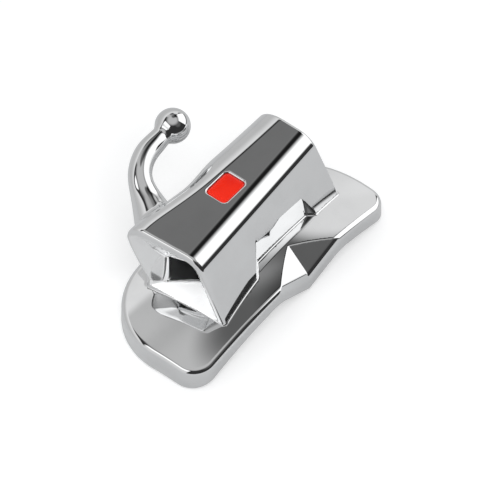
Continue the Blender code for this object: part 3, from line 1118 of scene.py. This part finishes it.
def asMesh(name, points, faces):
    mesh = bpy.data.meshes.new(name)
    mesh.vertices.add(len(points))
    mesh.vertices.foreach_set("co", points.ravel())
    mesh.loops.add(faces.size)
    mesh.loops.foreach_set("vertex_index", faces.ravel())
    mesh.polygons.add(len(faces))
    mesh.polygons.foreach_set("loop_start", np.arange(len(faces)) * faces.shape[1])
    mesh.update(calc_edges=True)
    return mesh


# The mesh with flat places in fewer triangles, so that no more than limit are left.
def thinned(mesh, limit):
    holder = bpy.data.objects.new("holder", mesh)
    scene.collection.objects.link(holder)
    cut = holder.modifiers.new("triangles", "TRIANGULATE")
    cut.quad_method = "SHORTEST_DIAGONAL"
    amount = len(mesh.polygons) * 2
    if amount > limit:
        fewer = holder.modifiers.new("fewer", "DECIMATE")
        fewer.ratio = limit / amount
    graph = bpy.context.evaluated_depsgraph_get()
    made = bpy.data.meshes.new_from_object(holder.evaluated_get(graph))
    bpy.data.objects.remove(holder, do_unlink=True)
    return made


def meshPoints(mesh):
    points = np.empty(len(mesh.vertices) * 3)
    mesh.vertices.foreach_get("co", points)
    return points.reshape(-1, 3)


# The points of each triangle.
def meshCorners(mesh):
    corners = np.empty(len(mesh.loops), np.int32)
    mesh.loops.foreach_get("vertex_index", corners)
    return corners.reshape(-1, 3)


def smoothFaces(mesh):
    mesh.polygons.foreach_set("use_smooth", np.ones(len(mesh.polygons), bool))


# Normals taken from the field itself, so that faces meet smoothly and edges stay crisp. Where a triangle
# spans an edge, each of its corners takes the normal found a little inwards.
def fieldNormals(mesh, function, wideFrom):
    v = normalValues
    points = meshPoints(mesh)
    corners = meshCorners(mesh)
    tri = points[corners]
    normal = slopeOf(function, points, v["gap"])[corners]
    flat = np.cross(tri[:, 1] - tri[:, 0], tri[:, 2] - tri[:, 0])
    flat /= np.maximum(np.linalg.norm(flat, axis=1), 1e-15)[:, None]
    spread = (normal * flat[:, None]).sum(2).min(1)
    for i in range(3):
        spread = np.minimum(spread, (normal[:, i] * normal[:, i - 1]).sum(1))
    centre = tri.mean(axis=1)
    total = normal.sum(axis=1)
    total /= np.linalg.norm(total, axis=1)[:, None]
    wide = np.max([np.linalg.norm(tri[:, i] - tri[:, i - 1], axis=1) for i in range(3)], axis=0) > wideFrom
    uneven = np.zeros(len(tri), bool)
    straight = math.cos(math.radians(v["uneven"]))
    uneven[wide] = (slopeOf(function, centre[wide], v["gap"]) * total[wide]).sum(1) < straight
    rough = np.where((spread < math.cos(math.radians(v["crease"]))) | uneven)[0]
    for k in range(3):
        place = tri[rough, k] * (1.0 - v["inwards"]) + centre[rough] * v["inwards"]
        own = slopeOf(function, place, v["gap"] * 0.5)
        turned = (own * normal[rough, k]).sum(1) < math.cos(math.radians(v["turned"]))
        turned |= uneven[rough]
        normal[rough[turned], k] = own[turned]
    against = (normal * flat[:, None]).sum(2) < v["least"]
    normal[against] = np.repeat(flat[:, None], 3, axis=1)[against]
    smoothFaces(mesh)
    mesh.normals_split_custom_set(normal.reshape(-1, 3))


# Marks the funnel's faces, which are left satin where the rest is polished.
def markSatin(mesh, near=0.012, behind=0.01):
    v = slotValues
    x, y, z = meshPoints(mesh)[meshCorners(mesh)].mean(axis=1).T
    frameX = slotFrame(np.minimum(y, v["gingival"]))[0]
    funnel = np.where(z < v["floor"] + behind, 1.0, v["facetSatin"])
    share = np.where(x < frameX + behind, funnel, v["slotSatin"])
    share = np.where(np.abs(openingField(x, y, z)) < near, share, 0.0)
    made = mesh.attributes.new("satin", "FLOAT", "FACE")
    made.data.foreach_set("value", share.astype(np.float32))


# Moves a mesh from the working millimetres to the shared frame's metres.
def toFrame(mesh, low=None, high=None):
    points = (meshPoints(mesh) + workOrigin) * mm
    if low is not None:
        points = np.clip(points, np.array(low), np.array(high))
    mesh.vertices.foreach_set("co", points.ravel())
    mesh.update()


def addPiece(name, mesh, finish, standsFor=None):
    mesh.materials.clear()
    mesh.materials.append(finish)
    piece = bpy.data.objects.new(name, mesh)
    scene.collection.objects.link(piece)
    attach(piece, "root")
    if standsFor:
        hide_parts(standsFor)
    return piece


# The box and grid that the metal body is read from
bodyValues = {
    "low": (-1.34, -0.45, -0.85),
    "high": (4.74, 3.72, 1.75),
    "step": 0.020,
    "quickStep": 0.040,
    "triangles": 192000,
    "wideFrom": 2.2,
}


def makeBody(v):
    step = v["step"]
    points, quads = surfaceOf(bodyField, np.array(v["low"]), np.array(v["high"]), step)
    print("metal surface", len(points), "points", len(quads), "faces")
    mesh = thinned(asMesh("metalBody", points, quads), v["triangles"])
    fieldNormals(mesh, bodyField, step * v["wideFrom"])
    markSatin(mesh)
    toFrame(mesh, cadLow, cadHigh)
    return addPiece("metalBody", mesh, steel, "tube_body")


metalBody = makeBody(bodyValues)
print("metal body done,", len(metalBody.data.polygons), "triangles")


# Marking inlay
def markOutline(v):
    halfX = v["length"] / 2 - v["clearance"]
    halfY = v["width"] / 2 - v["clearance"]
    corner = v["corner"] - v["clearance"]
    quarter = v["turns"] // 4
    outline = []
    for turn, (sx, sy) in enumerate(((1, 1), (-1, 1), (-1, -1), (1, -1))):
        for i in range(quarter):
            angle = math.radians(90 * turn + 90 * i / (quarter - 1))
            x = sx * (halfX - corner) + corner * math.cos(angle)
            y = sy * (halfY - corner) + corner * math.sin(angle)
            outline.append((x, y))
    return np.array(outline)


# A poured inlay: domed a little, and lower along the recess's edge.
def makeMark(v):
    outline = markOutline(v)
    count = len(outline)
    top = tubeValues["height"] - v["below"]
    base = tubeValues["height"] - v["recess"] + v["clearance"]

    def ring(share, height):
        return np.column_stack((outline * share, np.full(count, height)))

    rows = [ring(1.0, base), ring(1.0, top - v["edgeDrop"])]
    for i in range(v["rings"]):
        inner = 1.0 - (i + v["firstRing"]) / v["rings"]
        dome = v["dome"] * (1.0 - inner**2)
        edge = v["edgeDrop"] * max(1.0 - (1.0 - inner) / v["edgeWidth"], 0.0) ** 2
        rows.append(ring(inner * (1.0 - v["lastRing"]) + v["lastRing"], top + dome - edge))
    points = np.concatenate(rows + [np.array(((0.0, 0.0, top + v["dome"]), (0.0, 0.0, base)))])
    points[:, :2] += np.array(v["centre"])
    faces = []
    for r in range(len(rows) - 1):
        for i in range(count):
            j = (i + 1) % count
            faces.append((r * count + i, r * count + j, (r + 1) * count + j, (r + 1) * count + i))
    last = (len(rows) - 1) * count
    for i in range(count):
        j = (i + 1) % count
        faces.append((last + i, last + j, len(points) - 2))
        faces.append((j, i, len(points) - 1))
    mesh = bpy.data.meshes.new("markInlay")
    mesh.from_pydata(points.tolist(), [], faces)
    mesh.validate()
    smoothFaces(mesh)
    mesh.set_sharp_from_angle(angle=math.radians(50))
    toFrame(mesh)
    return addPiece("markInlay", mesh, enamel, "id_mark")


makeMark(markValues)
print("marking inlay done")


# Retention pegs under the bonding base, wider at the tip so that the adhesive keys in
pegValues = {
    "pitch": 0.36,
    "rowShare": 0.87,
    "border": 0.41,
    "grooveClear": 0.07,
    "tipWidth": 0.20,
    "rootWidth": 0.13,
    "tipAbove": 0.022,
    "height": 0.10,
    "sides": 24,
    "sizeSpread": 0.05,
    "seed": 7,
}


def pegPlaces(v):
    p = padValues
    places = []
    rows = np.arange(p["occlusal"], p["gingival"], v["pitch"] * v["rowShare"])
    for row, y in enumerate(rows):
        for x in np.arange(p["mesial"] + (row % 2) * v["pitch"] / 2, p["distal"], v["pitch"]):
            at = np.array((x,)), np.array((y,))
            left, right = grooveFlanks(*at)
            inGroove = max(left[0], right[0]) < padCrown(*at)[0] + v["grooveClear"]
            if outlineField.read(*at)[0] < -v["border"] and not inGroove:
                places.append((x, y, padBottom(*at)[0] + v["tipAbove"]))
    return ((np.array(places) + workOrigin) * mm).tolist()


def pegTree():
    tree = bpy.data.node_groups.new("pegTree", "GeometryNodeTree")
    tree.interface.new_socket("Places", in_out="INPUT", socket_type="NodeSocketGeometry")
    for label in ("Tip Width", "Root Width", "Height", "Spread"):
        tree.interface.new_socket(label, in_out="INPUT", socket_type="NodeSocketFloat")
    for label in ("Seed", "Sides"):
        tree.interface.new_socket(label, in_out="INPUT", socket_type="NodeSocketInt")
    tree.interface.new_socket("Finish", in_out="INPUT", socket_type="NodeSocketMaterial")
    tree.interface.new_socket("Pegs", in_out="OUTPUT", socket_type="NodeSocketGeometry")
    n = Nodes(tree)
    given = n.add("NodeGroupInput")
    halves = []
    for label in ("Tip Width", "Root Width"):
        halves.append(n.math("MULTIPLY", given.outputs[label], 0.5))
    peg = n.add("GeometryNodeMeshCone")
    peg.inputs["Side Segments"].default_value = 3
    n.feed(peg.inputs["Vertices"], given.outputs["Sides"])
    n.feed(peg.inputs["Radius Bottom"], halves[0])
    n.feed(peg.inputs["Radius Top"], halves[1])
    n.feed(peg.inputs["Depth"], given.outputs["Height"])
    size = n.add("FunctionNodeRandomValue", data_type="FLOAT")
    numbers = [socket for socket in size.inputs if socket.type == "VALUE"]
    n.feed(numbers[0], n.math("SUBTRACT", 1.0, given.outputs["Spread"]))
    n.feed(numbers[1], 1.0)
    n.feed(size.inputs["Seed"], given.outputs["Seed"])
    spread = [socket for socket in size.outputs if socket.type == "VALUE"][0]
    place = n.add("GeometryNodeInstanceOnPoints")
    n.feed(place.inputs["Points"], given.outputs["Places"])
    n.feed(place.inputs["Instance"], peg.outputs["Mesh"])
    wide = n.add("ShaderNodeCombineXYZ")
    n.feed(wide.inputs[0], spread)
    n.feed(wide.inputs[1], spread)
    wide.inputs[2].default_value = 1.0
    n.feed(place.inputs["Scale"], wide.outputs[0])
    real = n.add("GeometryNodeRealizeInstances")
    n.feed(real.inputs[0], place.outputs["Instances"])
    paint = n.add("GeometryNodeSetMaterial")
    n.feed(paint.inputs["Geometry"], real.outputs[0])
    n.feed(paint.inputs["Material"], given.outputs["Finish"])
    n.feed(n.add("NodeGroupOutput").inputs[0], paint.outputs[0])
    return tree


def makePegs(v):
    seeds = bpy.data.meshes.new("pegSeeds")
    seeds.from_pydata(pegPlaces(v), [], [])
    holder = bpy.data.objects.new("pegSeeds", seeds)
    scene.collection.objects.link(holder)
    tree = pegTree()
    grown = holder.modifiers.new("pegs", "NODES")
    grown.node_group = tree
    wanted = {
        "Tip Width": v["tipWidth"] * mm,
        "Root Width": v["rootWidth"] * mm,
        "Height": v["height"] * mm,
        "Spread": v["sizeSpread"],
        "Seed": v["seed"],
        "Sides": v["sides"],
        "Finish": steel,
    }
    for socket in tree.interface.items_tree:
        if socket.in_out == "INPUT" and socket.name in wanted:
            grown[socket.identifier] = wanted[socket.name]
    graph = bpy.context.evaluated_depsgraph_get()
    mesh = bpy.data.meshes.new_from_object(holder.evaluated_get(graph))
    mesh.name = "retentionPegs"
    bpy.data.objects.remove(holder, do_unlink=True)
    smoothFaces(mesh)
    mesh.set_sharp_from_angle(angle=math.radians(35))
    return addPiece("retentionPegs", mesh, steel)


pegs = makePegs(pegValues)
print("retention pegs done,", len(pegs.data.polygons), "faces")
